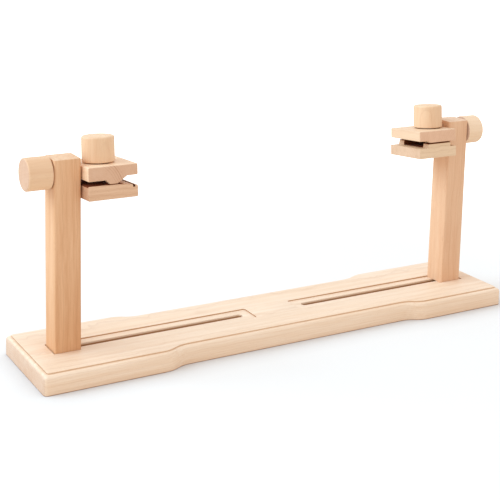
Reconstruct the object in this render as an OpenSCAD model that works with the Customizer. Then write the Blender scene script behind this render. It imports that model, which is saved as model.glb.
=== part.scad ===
// Embroidery hoop stand: a table stand with two sliding posts and two tilting clamps that hold a hoop.
// Millimetres, +X to the right along the base, +Y to the back, +Z up.
// Origin: centre of the base on its underside.

/* [Base] */
// Length of the base plank
base_length = 480; // [460:1:520]
// Depth of the base plank at its wide ends
base_depth = 100; // [96:1:120]
// Depth of the base plank at its waist
waist_depth = 86; // [80:1:92]
// Thickness of the base plank
base_thickness = 18; // [17:0.5:24]
// Distance from the middle to the front left curve
front_left_curve = 119; // [100:1:150]
// Distance from the middle to the front right curve
front_right_curve = 135; // [100:1:150]
// Distance from the middle to the back left curve
back_left_curve = 130; // [100:1:150]
// Distance from the middle to the back right curve
back_right_curve = 122; // [100:1:150]
// Length of each curve
curve_length = 26; // [18:1:32]
// Corner radius of the plank in plan
corner_radius = 3.5; // [2:0.5:8]
// Corner radius of the plank at the top of its moulding
top_corner_radius = 2; // [1:0.5:6]
// Radius of the rounded moulding along the top edge
moulding_radius = 3.2; // [2:0.2:4]
// Height of the small step above the moulding
moulding_step = 1.3; // [0.5:0.1:1.5]
// Width of the flat ledge below that step
moulding_ledge = 0.7; // [0.3:0.1:0.9]
// Number of cuts that form the rounded moulding
moulding_cuts = 6; // [3:1:8]

/* [Slots] */
// Depth of the shallow channel that guides each post
channel_depth = 1.2; // [1:0.1:3]
// Gap on each side between a post and its channel
channel_gap = 0.25; // [0.15:0.05:0.5]
// Half of the plain wood between the inner ends of the channels
channel_start = 23.5; // [20:0.5:40]
// Distance of the pair of channels to the right of the base's middle
channel_shift = 2; // [0:0.1:2]
// Corner radius at the inner end of each channel
channel_radius = 2; // [1:0.5:5]
// Width of the slot for the foot bolts
slot_width = 6.6; // [6.6:0.1:8]
// Plain channel floor left beyond the inner end of each slot
slot_margin = 9; // [4:0.5:12]
// Width of the groove under the base for the bolt heads
groove_width = 19; // [18:0.5:24]
// Depth of the groove under the base
groove_depth = 7; // [6.5:0.5:8]

/* [Posts] */
// Width and depth of each square post
post_size = 23.5; // [20:0.5:26]
// Height of the clamp pivots above the table
pivot_height = 171.5; // [120:0.5:220]
// Height of the top of the posts above the clamp pivots
post_head = 12.2; // [10:0.1:18]
// Edge radius of the posts
post_edge = 1.75; // [0.5:0.25:2]
// Distance of the left post from the left end of the base
left_post_inset = 35; // [35:0.5:180]
// Distance of the right post from the right end of the base
right_post_inset = 33.5; // [33:0.5:180]
// Shortest distance of a post from its end of the base
post_limit_inset = 33; // [31:0.5:33]

/* [Clamps] */
// Length of the jaws along the base
jaw_length = 44.5; // [42:0.5:52]
// Depth of the jaws
jaw_depth = 46.5; // [40:0.5:56]
// Thickness of the upper jaws
upper_jaw_thickness = 12; // [11.5:0.5:14]
// Height of the left upper jaw's top face above the pivot
left_jaw_rise = 4.5; // [4.5:0.1:5.5]
// Height of the right upper jaw's top face above the pivot
right_jaw_rise = 5.6; // [4.5:0.1:5.6]
// Thickness of the left lower jaw
left_lower_thickness = 12.3; // [11:0.1:16]
// Thickness of the right lower jaw without its ribs
right_lower_thickness = 9.7; // [9:0.1:16]
// Length of the flat lip at the end of the upper jaws
mouth_length = 9.6; // [8:0.2:13]
// Length of the slope behind that lip
mouth_slope = 3.5; // [2:0.5:5]
// Depth of the mouth cut into the upper jaws
mouth_depth = 2.3; // [1:0.1:3]
// Length of the slope on top of the left lower jaw
taper_length = 18; // [12:0.5:20]
// Fall of that slope
taper_depth = 2.4; // [1:0.1:3]
// Width of the ribs along the front and back of the jaws
rib_width = 8.2; // [6:0.2:12]
// Height of the ribs under the left upper jaw
left_rib_height = 3.7; // [1:0.1:4.5]
// Distance of these ribs from the post side of the jaw
left_rib_start = 19.5; // [18:0.5:22]
// Length of the slope that leads down to these ribs
left_rib_lead = 3.5; // [1:0.5:6]
// Height of the ribs on the right lower jaw
right_rib_height = 4.4; // [1:0.1:5]
// Distance of these ribs from the post side of the jaw
right_rib_start = 7; // [2:0.5:10]
// Length of these ribs
right_rib_length = 26.5; // [20:0.5:28]
// Slope at the mouth end of these ribs
right_rib_slope = 1; // [0.5:0.5:3]
// Distance of the grip groove from the tip of the left lower jaw
grip_inset = 2.6; // [1.6:0.1:3.5]
// Width of the grip groove
grip_width = 2.2; // [1:0.1:3]
// Depth of the grip groove
grip_depth = 1.4; // [0.5:0.1:2]
// Edge radius of the jaws
jaw_edge = 1.2; // [0.5:0.1:1.5]
// Gap between the closed parts of the left jaws
left_jaw_gap = 0.25; // [0.1:0.05:6]
// Gap between the closed parts of the right jaws
right_jaw_gap = 0.5; // [0.1:0.05:6]
// Tilt of the left clamp about its pivot, in degrees
left_tilt = -4; // [-30:0.5:30]
// Tilt of the right clamp about its pivot, in degrees
right_tilt = -5.5; // [-30:0.5:30]
// Distance from the post side of the left jaws to their bolt
left_bolt_inset = 18.6; // [16:0.1:20]
// Distance from the post side of the right jaws to their bolt
right_bolt_inset = 16.1; // [16:0.1:20]
// Gap between a post and its jaws, filled by the spacer
spacer_length = 1.3; // [1:0.1:4]
// Diameter of the spacer
spacer_diameter = 10; // [8:0.5:12]

/* [Knobs] */
// Diameter of all four knobs
knob_diameter = 28; // [24:0.5:32]
// Length of the left side knob
left_side_knob_length = 21.5; // [18:0.5:24]
// Length of the right side knob
right_side_knob_length = 18.5; // [18:0.5:24]
// Length of the top knobs
top_knob_length = 22; // [21:0.5:26]
// Radius of the outer rim of the knobs
knob_rim = 1.8; // [1:0.2:4]
// Radius of the knob rim that faces a post or a jaw
knob_foot = 0.6; // [0.4:0.1:2]
// Length of the threaded inserts in the knobs
insert_length = 13; // [10:0.5:14]
// Gap between the left post and its knob
left_knob_gap = 1; // [1:0.1:3]
// Gap between the right post and its knob
right_knob_gap = 1; // [1:0.1:3]

/* [Hardware] */
// Diameter of the clamp bolts and foot bolts
bolt_diameter = 6; // [5:0.5:6]
// Diameter of the pivot studs
stud_diameter = 5; // [4:0.5:5]
// Depth of each pivot stud in its upper jaw
stud_depth = 12; // [10:0.5:13]
// Reach of each pivot stud into a tight side knob
stud_reach = 13; // [10:0.5:14]
// Reach of the left clamp bolt into its knob when the jaws are shut
bolt_reach = 12; // [10:0.5:13]
// Diameter of the clamp bolt heads
clamp_head_diameter = 13.5; // [12:0.5:16]
// Thickness of the clamp bolt heads
clamp_head_height = 3.3; // [2.5:0.1:3.5]
// Depth of the recess for a clamp bolt head
clamp_head_recess = 3.6; // [3.6:0.1:4.5]
// Length of the square neck under a clamp bolt head
clamp_neck_length = 3.4; // [2:0.1:4]
// Shank length of the foot bolts
foot_bolt_length = 20; // [18:0.5:22]
// Size across the flats of the foot bolt heads
foot_head_flats = 10; // [8:0.5:10]
// Thickness of the foot bolt heads
foot_head_height = 4; // [3:0.5:4]
// Diameter of the foot washers
foot_washer_diameter = 16; // [12:0.5:17]
// Thickness of the foot washers
foot_washer_thickness = 1.6; // [1:0.1:2]
// Length of the threaded inserts in the post feet
foot_insert_length = 13; // [10:0.5:16]
// Diameter of the knob washers
knob_washer_diameter = 16; // [14:0.5:18]
// Thickness of the knob washers
knob_washer_thickness = 1; // [0.8:0.1:1]
// Clearance around a bolt in a plain hole
hole_clearance = 0.3; // [0.3:0.05:0.5]
// Clearance around a bolt in a threaded insert
thread_clearance = 0.05; // [0.02:0.01:0.09]
// Gap that lets two flat faces slide or turn
slide_gap = 0.1; // [0.05:0.05:0.2]

/* [Hidden] */
$fn = 96;
eps = 1;
moulding_inset = moulding_radius + moulding_ledge;
moulding_bottom = base_thickness - moulding_step - moulding_radius;
curve_drop = (base_depth - waist_depth) / 2;
curve_radius = (curve_length * curve_length + curve_drop * curve_drop) / (4 * curve_drop);
curve_turn = 2 * atan(curve_drop / curve_length);
curve_steps = 7;
corner_steps = 6;
channel_width = post_size + 2 * channel_gap;
channel_floor = base_thickness - channel_depth;
left_post_x = base_length / 2 - left_post_inset;
right_post_x = base_length / 2 - right_post_inset;
post_limit = base_length / 2 - post_limit_inset;
post_top = pivot_height + post_head;
channel_end = post_limit + post_size / 2 + 0.8;
slot_start = channel_start + slot_margin + slot_width / 2;
slot_end = post_limit + slot_width / 2 - bolt_diameter / 2;
post_height = post_top - channel_floor;
bolt_radius = bolt_diameter / 2;
stud_radius = stud_diameter / 2;
bolt_hole_radius = bolt_radius + hole_clearance;
stud_hole_radius = stud_radius + hole_clearance;
foot_insert_radius = bolt_radius + 1.5;
bolt_insert_radius = bolt_radius + 1.5;
stud_insert_radius = stud_radius + 1.5;
jaw_face = -(post_size / 2 + spacer_length);
jaw_tip = jaw_face - jaw_length;
left_jaw_top = left_jaw_rise - upper_jaw_thickness - left_rib_height - left_jaw_gap;
right_jaw_top = right_jaw_rise - upper_jaw_thickness - right_rib_height - right_jaw_gap;
left_stack = upper_jaw_thickness + left_rib_height + left_lower_thickness;
right_stack = upper_jaw_thickness + right_rib_height + right_lower_thickness;
stud_length = stud_depth + spacer_length + post_size + knob_washer_thickness + stud_reach;
clamp_bolt_length = left_stack - clamp_head_recess + knob_washer_thickness + bolt_reach;
side_bore_depth = stud_reach + 1;
top_bore_depth = bolt_reach + max(left_stack - right_stack, 0) + 1;
neck_size = bolt_diameter;
beech_light = [0.93, 0.80, 0.64];
beech_warm = [0.88, 0.71, 0.53];
beech_knob = [0.92, 0.78, 0.62];
steel = [0.72, 0.73, 0.75];
zinc = [0.80, 0.80, 0.78];
brass = [0.80, 0.66, 0.32];

// Places a right-hand shape at the left post.
module at_left() {
    translate([-left_post_x, 0, 0])
    mirror([1, 0, 0])
    children();
}

// Places a right-hand shape at the right post.
module at_right() {
    translate([right_post_x, 0, 0])
    children();
}

// Lifts a shape to the pivot and tilts it there.
module on_pivot(tilt) {
    translate([0, 0, pivot_height])
    rotate([tilt, 0, 0])
    children();
}

// A rectangle from its lower corner, with rounded corners.
module round_rect(corner, size, r) {
    translate([corner[0] + r, corner[1]])
    square([size[0] - 2 * r, size[1]]);
    translate([corner[0], corner[1] + r])
    square([size[0], size[1] - 2 * r]);
    for (u = [corner[0] + r, corner[0] + size[0] - r]) {
        for (v = [corner[1] + r, corner[1] + size[1] - r]) {
            translate([u, v])
            circle(r = r);
        }
    }
}

// A washer or bushing that stands on the XY plane.
module ring(outer, inner, height) {
    difference() {
        cylinder(r = outer, h = height);
        translate([0, 0, -eps])
        cylinder(r = inner, h = height + 2 * eps);
    }
}

// Base

// Points on an arc, from one angle to another.
function arc(centre, r, from, to, steps) = [
    for (k = [0 : steps])
    centre + r * [cos(from + (to - from) * k / steps), sin(from + (to - from) * k / steps)]
];

// The corner radius of the outline, from the full outline to the top of the moulding.
function corner(inset) = corner_radius + (top_corner_radius - corner_radius) * inset / moulding_inset;

// The back right quarter of the plank's outline, with its curve at the given distance.
function quarter(inset, half) = concat(
    arc(
        [half - curve_length / 2, waist_depth / 2 + curve_radius],
        curve_radius + inset, -90, curve_turn - 90, curve_steps
    ),
    arc(
        [half + curve_length / 2, base_depth / 2 - curve_radius],
        curve_radius - inset, curve_turn + 90, 90, curve_steps
    ),
    arc(
        [base_length / 2 - inset - corner(inset), base_depth / 2 - inset - corner(inset)],
        corner(inset), 90, 0, corner_steps
    )
);

// The same points in the opposite order, mirrored by the given signs.
function flipped(points, sx, sy) = [
    for (k = [len(points) - 1 : -1 : 0])
    [sx * points[k][0], sy * points[k][1]]
];

// The plank's outline, moved in by the given inset.
module plank_outline(inset) {
    polygon(concat(
        quarter(inset, back_right_curve),
        flipped(quarter(inset, front_right_curve), 1, -1),
        [for (p = quarter(inset, front_left_curve)) -p],
        flipped(quarter(inset, back_left_curve), -1, 1)
    ));
}

// The plank with its moulded top edge, as flat layers that all start at the table.
module plank_body() {
    linear_extrude(moulding_bottom)
    plank_outline(0);
    for (i = [1 : moulding_cuts]) {
        middle = 90 * (i - 0.5) / moulding_cuts;
        upper = 90 * i / moulding_cuts;
        linear_extrude(moulding_bottom + moulding_radius * sin(upper))
        plank_outline(moulding_radius * (1 - cos(middle)));
    }
    linear_extrude(base_thickness)
    plank_outline(moulding_inset);
}

// The channel, slot and groove for the right-hand post.
module post_track() {
    translate([0, 0, channel_floor])
    linear_extrude(channel_depth + eps) {
        translate([channel_start + channel_radius, -channel_width / 2])
        square([channel_end - channel_start - channel_radius, channel_width]);
        round_rect(
            [channel_start, -channel_width / 2],
            [channel_end - channel_start - channel_radius, channel_width],
            channel_radius
        );
    }
    translate([0, 0, -eps])
    linear_extrude(base_thickness + 2 * eps) {
        translate([slot_start, -slot_width / 2])
        square([slot_end - slot_start, slot_width]);
        for (u = [slot_start, slot_end]) {
            translate([u, 0])
            circle(r = slot_width / 2);
        }
    }
    translate([0, 0, -eps])
    linear_extrude(groove_depth + eps) {
        translate([slot_start, -groove_width / 2])
        square([slot_end - slot_start, groove_width]);
        for (u = [slot_start, slot_end]) {
            translate([u, 0])
            circle(r = groove_width / 2);
        }
    }
}

// The long plank that everything stands on.
module base_plank() {
    color(beech_light)
    difference() {
        plank_body();
        translate([channel_shift, 0, 0]) {
            post_track();
            mirror([1, 0, 0])
            post_track();
        }
    }
}

// Posts

// A square post with its pivot hole and the hole for the foot insert.
module post_shape() {
    difference() {
        translate([0, 0, channel_floor])
        linear_extrude(post_height)
        round_rect([-post_size / 2, -post_size / 2], [post_size, post_size], post_edge);
        translate([-post_size, 0, pivot_height])
        rotate([0, 90, 0])
        cylinder(r = stud_hole_radius, h = 2 * post_size);
        translate([0, 0, channel_floor - eps])
        cylinder(r = foot_insert_radius, h = foot_insert_length + eps);
    }
}

// The threaded bushing in the foot of a post.
module foot_insert_shape() {
    translate([0, 0, channel_floor])
    ring(foot_insert_radius, bolt_radius, foot_insert_length);
}

// The washer that slides along the groove under the base.
module foot_washer_shape() {
    translate([0, 0, groove_depth - foot_washer_thickness])
    ring(foot_washer_diameter / 2, bolt_radius, foot_washer_thickness);
}

// The hexagon bolt that holds a post down.
module foot_bolt_shape() {
    seat = groove_depth - foot_washer_thickness;
    translate([0, 0, seat - foot_head_height])
    cylinder(d = foot_head_flats / cos(30), h = foot_head_height, $fn = 6);
    translate([0, 0, seat - eps])
    cylinder(r = bolt_radius, h = foot_bolt_length + eps);
}

// Knobs

// A turned knob on the XY plane, with rounded rims and a blind hole from below.
module knob_shape(length, insert_radius, hole_radius, bore_depth) {
    difference() {
        rotate_extrude() {
            intersection() {
                union() {
                    round_rect([-knob_diameter / 2, 0], [knob_diameter, length], knob_rim);
                    round_rect([-knob_diameter / 2, 0], [knob_diameter, length / 2], knob_foot);
                }
                square([knob_diameter, length]);
            }
        }
        translate([0, 0, -eps])
        cylinder(r = insert_radius, h = insert_length + eps);
        cylinder(r = hole_radius, h = bore_depth);
    }
}

// Turns a shape that stands on the XY plane to the outer side of a post.
module at_side_knob(gap) {
    translate([post_size / 2 + gap, 0, pivot_height])
    rotate([0, 90, 0])
    children();
}

// The knob that locks the tilt of a clamp.
module side_knob_shape(gap, length) {
    at_side_knob(gap)
    knob_shape(length, stud_insert_radius, stud_hole_radius, side_bore_depth);
}

// The threaded bushing in a side knob.
module side_knob_insert_shape(gap) {
    at_side_knob(gap)
    ring(stud_insert_radius, stud_radius + thread_clearance, insert_length);
}

// The washer between a side knob and its post.
module side_knob_washer_shape() {
    at_side_knob(0)
    ring(knob_washer_diameter / 2, stud_hole_radius, knob_washer_thickness - slide_gap);
}

// Lifts a shape that stands on the XY plane to the top of an upper jaw, over its bolt.
module on_jaw(rise, inset) {
    translate([jaw_face - inset, 0, rise])
    children();
}

// The knob that closes a clamp.
module top_knob_shape(rise, inset) {
    on_jaw(rise + knob_washer_thickness, inset)
    knob_shape(top_knob_length, bolt_insert_radius, bolt_hole_radius, top_bore_depth);
}

// The threaded bushing in a top knob.
module top_knob_insert_shape(rise, inset) {
    on_jaw(rise + knob_washer_thickness, inset)
    ring(bolt_insert_radius, bolt_radius + thread_clearance, insert_length);
}

// The washer between a top knob and its upper jaw.
module top_knob_washer_shape(rise, inset) {
    on_jaw(rise, inset)
    ring(knob_washer_diameter / 2, bolt_hole_radius, knob_washer_thickness - slide_gap);
}

// Clamps

// A flat side profile drawn as X and Z, made as deep as the jaws.
module jaw_body() {
    rotate([90, 0, 0])
    translate([0, 0, -jaw_depth / 2])
    linear_extrude(jaw_depth)
    children();
}

// Two copies of a side profile, one along the front and one along the back of the jaws.
module jaw_ribs() {
    for (v = [-jaw_depth / 2, jaw_depth / 2 - rib_width]) {
        rotate([90, 0, 0])
        translate([0, 0, v])
        linear_extrude(rib_width)
        children();
    }
}

// The jaw above the hoop, with the stud hole and the clamp bolt hole.
module upper_jaw_shape(rise, inset, rib) {
    bottom = rise - upper_jaw_thickness;
    rib_end = jaw_tip + mouth_length + mouth_slope + rib * mouth_slope / mouth_depth;
    difference() {
        union() {
            jaw_body()
            difference() {
                round_rect([jaw_tip, bottom], [jaw_length, upper_jaw_thickness], jaw_edge);
                polygon([
                    [jaw_tip - eps, bottom - eps],
                    [jaw_tip - eps, bottom + mouth_depth],
                    [jaw_tip + mouth_length, bottom + mouth_depth],
                    [jaw_tip + mouth_length + mouth_slope, bottom],
                    [jaw_tip + mouth_length + mouth_slope, bottom - eps]
                ]);
            }
            if (rib > 0)
                jaw_ribs()
                polygon([
                    [jaw_face - left_rib_start + left_rib_lead, bottom],
                    [jaw_face - left_rib_start + left_rib_lead, bottom + eps],
                    [jaw_tip + mouth_length + mouth_slope, bottom + eps],
                    [jaw_tip + mouth_length + mouth_slope, bottom],
                    [rib_end, bottom - rib],
                    [jaw_face - left_rib_start, bottom - rib]
                ]);
        }
        on_jaw(bottom - eps, inset)
        cylinder(r = bolt_hole_radius, h = upper_jaw_thickness + 2 * eps);
        translate([jaw_face - stud_depth, 0, 0])
        rotate([0, 90, 0])
        cylinder(r = stud_radius, h = stud_depth + eps);
    }
}

// The jaw below the hoop, with the bolt hole and the recess for the bolt head.
module lower_jaw_shape(top, thickness, inset, rib, taper) {
    bottom = top - thickness;
    difference() {
        union() {
            jaw_body()
            difference() {
                round_rect([jaw_tip, bottom], [jaw_length, thickness], jaw_edge);
                if (taper > 0)
                    polygon([
                        [jaw_tip - eps, top + eps],
                        [jaw_tip - eps, top - taper - taper * eps / taper_length],
                        [jaw_tip + taper_length, top],
                        [jaw_tip + taper_length, top + eps]
                    ]);
            }
            if (rib > 0)
                jaw_ribs()
                polygon([
                    [jaw_face - right_rib_start, top - eps],
                    [jaw_face - right_rib_start, top + rib],
                    [jaw_face - right_rib_start - right_rib_length, top + rib],
                    [jaw_face - right_rib_start - right_rib_length - right_rib_slope, top],
                    [jaw_face - right_rib_start - right_rib_length - right_rib_slope, top - eps]
                ]);
        }
        if (taper > 0)
            translate([jaw_tip + grip_inset, -jaw_depth, top - taper - grip_depth])
            cube([grip_width, 2 * jaw_depth, grip_depth + taper + eps]);
        on_jaw(bottom - eps, inset)
        cylinder(r = bolt_radius, h = thickness + 2 * eps);
        on_jaw(bottom - eps, inset)
        cylinder(r = clamp_head_diameter / 2 + hole_clearance, h = clamp_head_recess + eps);
        on_jaw(bottom, inset)
        translate([-neck_size / 2, -neck_size / 2, 0])
        cube([neck_size, neck_size, clamp_head_recess + clamp_neck_length]);
    }
}

// The bolt with a round head and a square neck that pulls the lower jaw up.
module clamp_bolt_shape(bottom, inset) {
    on_jaw(bottom + clamp_head_recess, inset) {
        translate([0, 0, -clamp_head_height])
        cylinder(d = clamp_head_diameter, h = clamp_head_height);
        translate([-neck_size / 2, -neck_size / 2, -eps])
        cube([neck_size, neck_size, clamp_neck_length + eps]);
        cylinder(r = bolt_radius, h = clamp_bolt_length);
    }
}

// The stud that the clamp tilts on.
module pivot_stud_shape() {
    translate([jaw_face - stud_depth, 0, 0])
    rotate([0, 90, 0])
    cylinder(r = stud_radius, h = stud_length);
}

// The spacer that keeps the jaws off the post.
module jaw_spacer_shape() {
    translate([jaw_face, 0, 0])
    rotate([0, 90, 0])
    ring(spacer_diameter / 2, stud_radius, spacer_length - slide_gap);
}

// Left side

module left_post() {
    color(beech_warm)
    at_left()
    post_shape();
}

module left_foot_insert() {
    color(brass)
    at_left()
    foot_insert_shape();
}

module left_foot_bolt() {
    color(zinc)
    at_left()
    foot_bolt_shape();
}

module left_foot_washer() {
    color(steel)
    at_left()
    foot_washer_shape();
}

module left_side_knob() {
    color(beech_knob)
    at_left()
    side_knob_shape(left_knob_gap, left_side_knob_length);
}

module left_side_knob_insert() {
    color(brass)
    at_left()
    side_knob_insert_shape(left_knob_gap);
}

module left_side_knob_washer() {
    color(steel)
    at_left()
    side_knob_washer_shape();
}

module left_pivot_stud() {
    color(zinc)
    at_left()
    on_pivot(left_tilt)
    pivot_stud_shape();
}

module left_jaw_spacer() {
    color(steel)
    at_left()
    on_pivot(left_tilt)
    jaw_spacer_shape();
}

module left_upper_jaw() {
    color(beech_warm)
    at_left()
    on_pivot(left_tilt)
    upper_jaw_shape(left_jaw_rise, left_bolt_inset, left_rib_height);
}

module left_lower_jaw() {
    color(beech_light)
    at_left()
    on_pivot(left_tilt)
    lower_jaw_shape(left_jaw_top, left_lower_thickness, left_bolt_inset, 0, taper_depth);
}

module left_clamp_bolt() {
    color(zinc)
    at_left()
    on_pivot(left_tilt)
    clamp_bolt_shape(left_jaw_top - left_lower_thickness, left_bolt_inset);
}

module left_top_knob() {
    color(beech_knob)
    at_left()
    on_pivot(left_tilt)
    top_knob_shape(left_jaw_rise, left_bolt_inset);
}

module left_top_knob_insert() {
    color(brass)
    at_left()
    on_pivot(left_tilt)
    top_knob_insert_shape(left_jaw_rise, left_bolt_inset);
}

module left_top_knob_washer() {
    color(steel)
    at_left()
    on_pivot(left_tilt)
    top_knob_washer_shape(left_jaw_rise, left_bolt_inset);
}

// Right side

module right_post() {
    color(beech_warm)
    at_right()
    post_shape();
}

module right_foot_insert() {
    color(brass)
    at_right()
    foot_insert_shape();
}

module right_foot_bolt() {
    color(zinc)
    at_right()
    foot_bolt_shape();
}

module right_foot_washer() {
    color(steel)
    at_right()
    foot_washer_shape();
}

module right_side_knob() {
    color(beech_knob)
    at_right()
    side_knob_shape(right_knob_gap, right_side_knob_length);
}

module right_side_knob_insert() {
    color(brass)
    at_right()
    side_knob_insert_shape(right_knob_gap);
}

module right_side_knob_washer() {
    color(steel)
    at_right()
    side_knob_washer_shape();
}

module right_pivot_stud() {
    color(zinc)
    at_right()
    on_pivot(right_tilt)
    pivot_stud_shape();
}

module right_jaw_spacer() {
    color(steel)
    at_right()
    on_pivot(right_tilt)
    jaw_spacer_shape();
}

module right_upper_jaw() {
    color(beech_warm)
    at_right()
    on_pivot(right_tilt)
    upper_jaw_shape(right_jaw_rise, right_bolt_inset, 0);
}

module right_lower_jaw() {
    color(beech_light)
    at_right()
    on_pivot(right_tilt)
    lower_jaw_shape(right_jaw_top, right_lower_thickness, right_bolt_inset, right_rib_height, 0);
}

module right_clamp_bolt() {
    color(zinc)
    at_right()
    on_pivot(right_tilt)
    clamp_bolt_shape(right_jaw_top - right_lower_thickness, right_bolt_inset);
}

module right_top_knob() {
    color(beech_knob)
    at_right()
    on_pivot(right_tilt)
    top_knob_shape(right_jaw_rise, right_bolt_inset);
}

module right_top_knob_insert() {
    color(brass)
    at_right()
    on_pivot(right_tilt)
    top_knob_insert_shape(right_jaw_rise, right_bolt_inset);
}

module right_top_knob_washer() {
    color(steel)
    at_right()
    on_pivot(right_tilt)
    top_knob_washer_shape(right_jaw_rise, right_bolt_inset);
}

base_plank();
left_post();
left_foot_insert();
left_foot_bolt();
left_foot_washer();
left_side_knob();
left_side_knob_insert();
left_side_knob_washer();
left_pivot_stud();
left_jaw_spacer();
left_upper_jaw();
left_lower_jaw();
left_clamp_bolt();
left_top_knob();
left_top_knob_insert();
left_top_knob_washer();
right_post();
right_foot_insert();
right_foot_bolt();
right_foot_washer();
right_side_knob();
right_side_knob_insert();
right_side_knob_washer();
right_pivot_stud();
right_jaw_spacer();
right_upper_jaw();
right_lower_jaw();
right_clamp_bolt();
right_top_knob();
right_top_knob_insert();
right_top_knob_washer();
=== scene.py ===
import math

import bmesh
import bpy
from mathutils import Matrix, Vector


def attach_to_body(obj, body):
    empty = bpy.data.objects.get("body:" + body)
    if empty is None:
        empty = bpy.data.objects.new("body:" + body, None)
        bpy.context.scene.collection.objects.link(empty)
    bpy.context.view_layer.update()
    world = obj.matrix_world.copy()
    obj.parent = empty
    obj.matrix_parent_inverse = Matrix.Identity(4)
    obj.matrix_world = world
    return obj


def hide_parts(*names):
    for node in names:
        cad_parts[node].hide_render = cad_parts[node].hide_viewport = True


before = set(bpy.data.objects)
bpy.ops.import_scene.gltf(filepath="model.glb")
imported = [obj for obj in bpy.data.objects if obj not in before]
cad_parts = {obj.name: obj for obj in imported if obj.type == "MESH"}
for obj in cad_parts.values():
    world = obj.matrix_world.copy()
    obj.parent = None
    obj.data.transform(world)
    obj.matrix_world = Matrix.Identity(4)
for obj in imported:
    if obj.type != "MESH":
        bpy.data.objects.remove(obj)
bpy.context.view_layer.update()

# A millimetre, in metres
MM = 0.001

# Sizes of the stand, in millimetres
PLANK_LENGTH, PLANK_DEPTH, PLANK_THICKNESS = 480, 100, 18
WAIST_DEPTH, CURVE_LENGTH = 86, 26
BACK_RIGHT, FRONT_RIGHT, FRONT_LEFT, BACK_LEFT = 122, 135, 119, 130
PLANK_CORNER, TOP_CORNER, PLANK_EASE = 3.5, 2.0, 0.2
MOULDING, LEDGE, STEP = 3.2, 0.7, 1.3
CHANNEL_START, CHANNEL_END, CHANNEL_WIDTH, CHANNEL_DEPTH = 23.5, 219.55, 24, 1.2
CHANNEL_SHIFT, CHANNEL_CORNER = 2, 2
SLOT_START, SLOT_END, SLOT_WIDTH = 35.8, 207.3, 6.6
GROOVE_WIDTH, GROOVE_DEPTH = 19, 7
POST, POST_EDGE, POST_TOP, PIVOT = 23.5, 1.75, 183.7, 171.5
KNOB_RADIUS, TOP_KNOB, KNOB_GAP = 14, 22, 1
KNOB_RIM, KNOB_FOOT, KNOB_DOME = 1.8, 0.6, 0.4
JAW_LENGTH, JAW_DEPTH, UPPER_JAW, JAW_EASE, SPACER = 44.5, 46.5, 12, 1.1, 1.3
MOUTH, MOUTH_SLOPE, MOUTH_DEPTH = 9.6, 3.5, 2.3
TAPER_LENGTH, RIB_WIDTH = 18, 8.2
UPPER_RIB_START, UPPER_RIB_SLOPE = 16, 3.5
LOWER_RIB_START, LOWER_RIB_END, LOWER_RIB_SLOPE = 7, 34.5, 1
GRIP_INSET, GRIP_WIDTH, GRIP_DEPTH = 2.6, 2.2, 1.4
BOLT, BOLT_PITCH, BOLT_LENGTH, BOLT_PLAIN, TOP_BORE = 3.0, 1.0, 37.4, 14, 14.9
STUD, STUD_PITCH, STUD_LENGTH, STUD_DEPTH, SIDE_BORE = 2.5, 0.8, 50.5, 12, 14
FOOT_BOLT_LENGTH, FOOT_BOLT_SEAT, FOOT_BOLT_FLATS = 20, 5.4, 10
RECESS_RADIUS, RECESS_DEPTH = 7.05, 3.6
INSERT_WALL, INSERT_LENGTH, WASHER, PLAY = 1.5, 13, 1.0, 0.3
# How far a cutter stands out of the wood
CLEAR = 5
# The rise is from the pivot to the top of the upper jaw, and the inset from a jaw's face to its bolt
SIDES = {
    "left": {"out": -1, "x": -205, "tilt": -4, "rise": 4.5, "gap": 0.25, "inset": 18.6, "knob_length": 21.5,
             "low": 12.3, "taper": 2.4, "upper_rib": 3.7, "lower_rib": 0},
    "right": {"out": 1, "x": 206.5, "tilt": -5.5, "rise": 5.6, "gap": 0.5, "inset": 16.1, "knob_length": 18.5,
              "low": 9.7, "taper": 0, "upper_rib": 0, "lower_rib": 4.4},
}


# Shader writing

class Value:
    """A number, colour or vector that changes over a surface."""

    def __init__(self, finish, socket):
        self.finish, self.socket = finish, socket

    def math(self, operation, *others, clamp=False):
        settings = {"operation": operation, "use_clamp": clamp}
        return self.finish.node("ShaderNodeMath", settings, dict(enumerate((self,) + others)))[0]

    def __add__(self, other):
        return self.math("ADD", other)

    __radd__ = __add__

    def __sub__(self, other):
        return self.math("SUBTRACT", other)

    def __rsub__(self, other):
        return self.finish.node("ShaderNodeMath", {"operation": "SUBTRACT"}, {0: other, 1: self})[0]

    def __mul__(self, other):
        return self.math("MULTIPLY", other)

    __rmul__ = __mul__

    def __truediv__(self, other):
        return self.math("DIVIDE", other)

    def __pow__(self, other):
        return self.math("POWER", other)

    def __abs__(self):
        return self.math("ABSOLUTE")

    def between(self, low, high):
        """0 at low, 1 at high, with a soft start and end."""
        return self.finish.node("ShaderNodeMapRange", {"interpolation_type": "SMOOTHSTEP"}, {
            "Value": self, "From Min": low, "From Max": high})[0]


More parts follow.
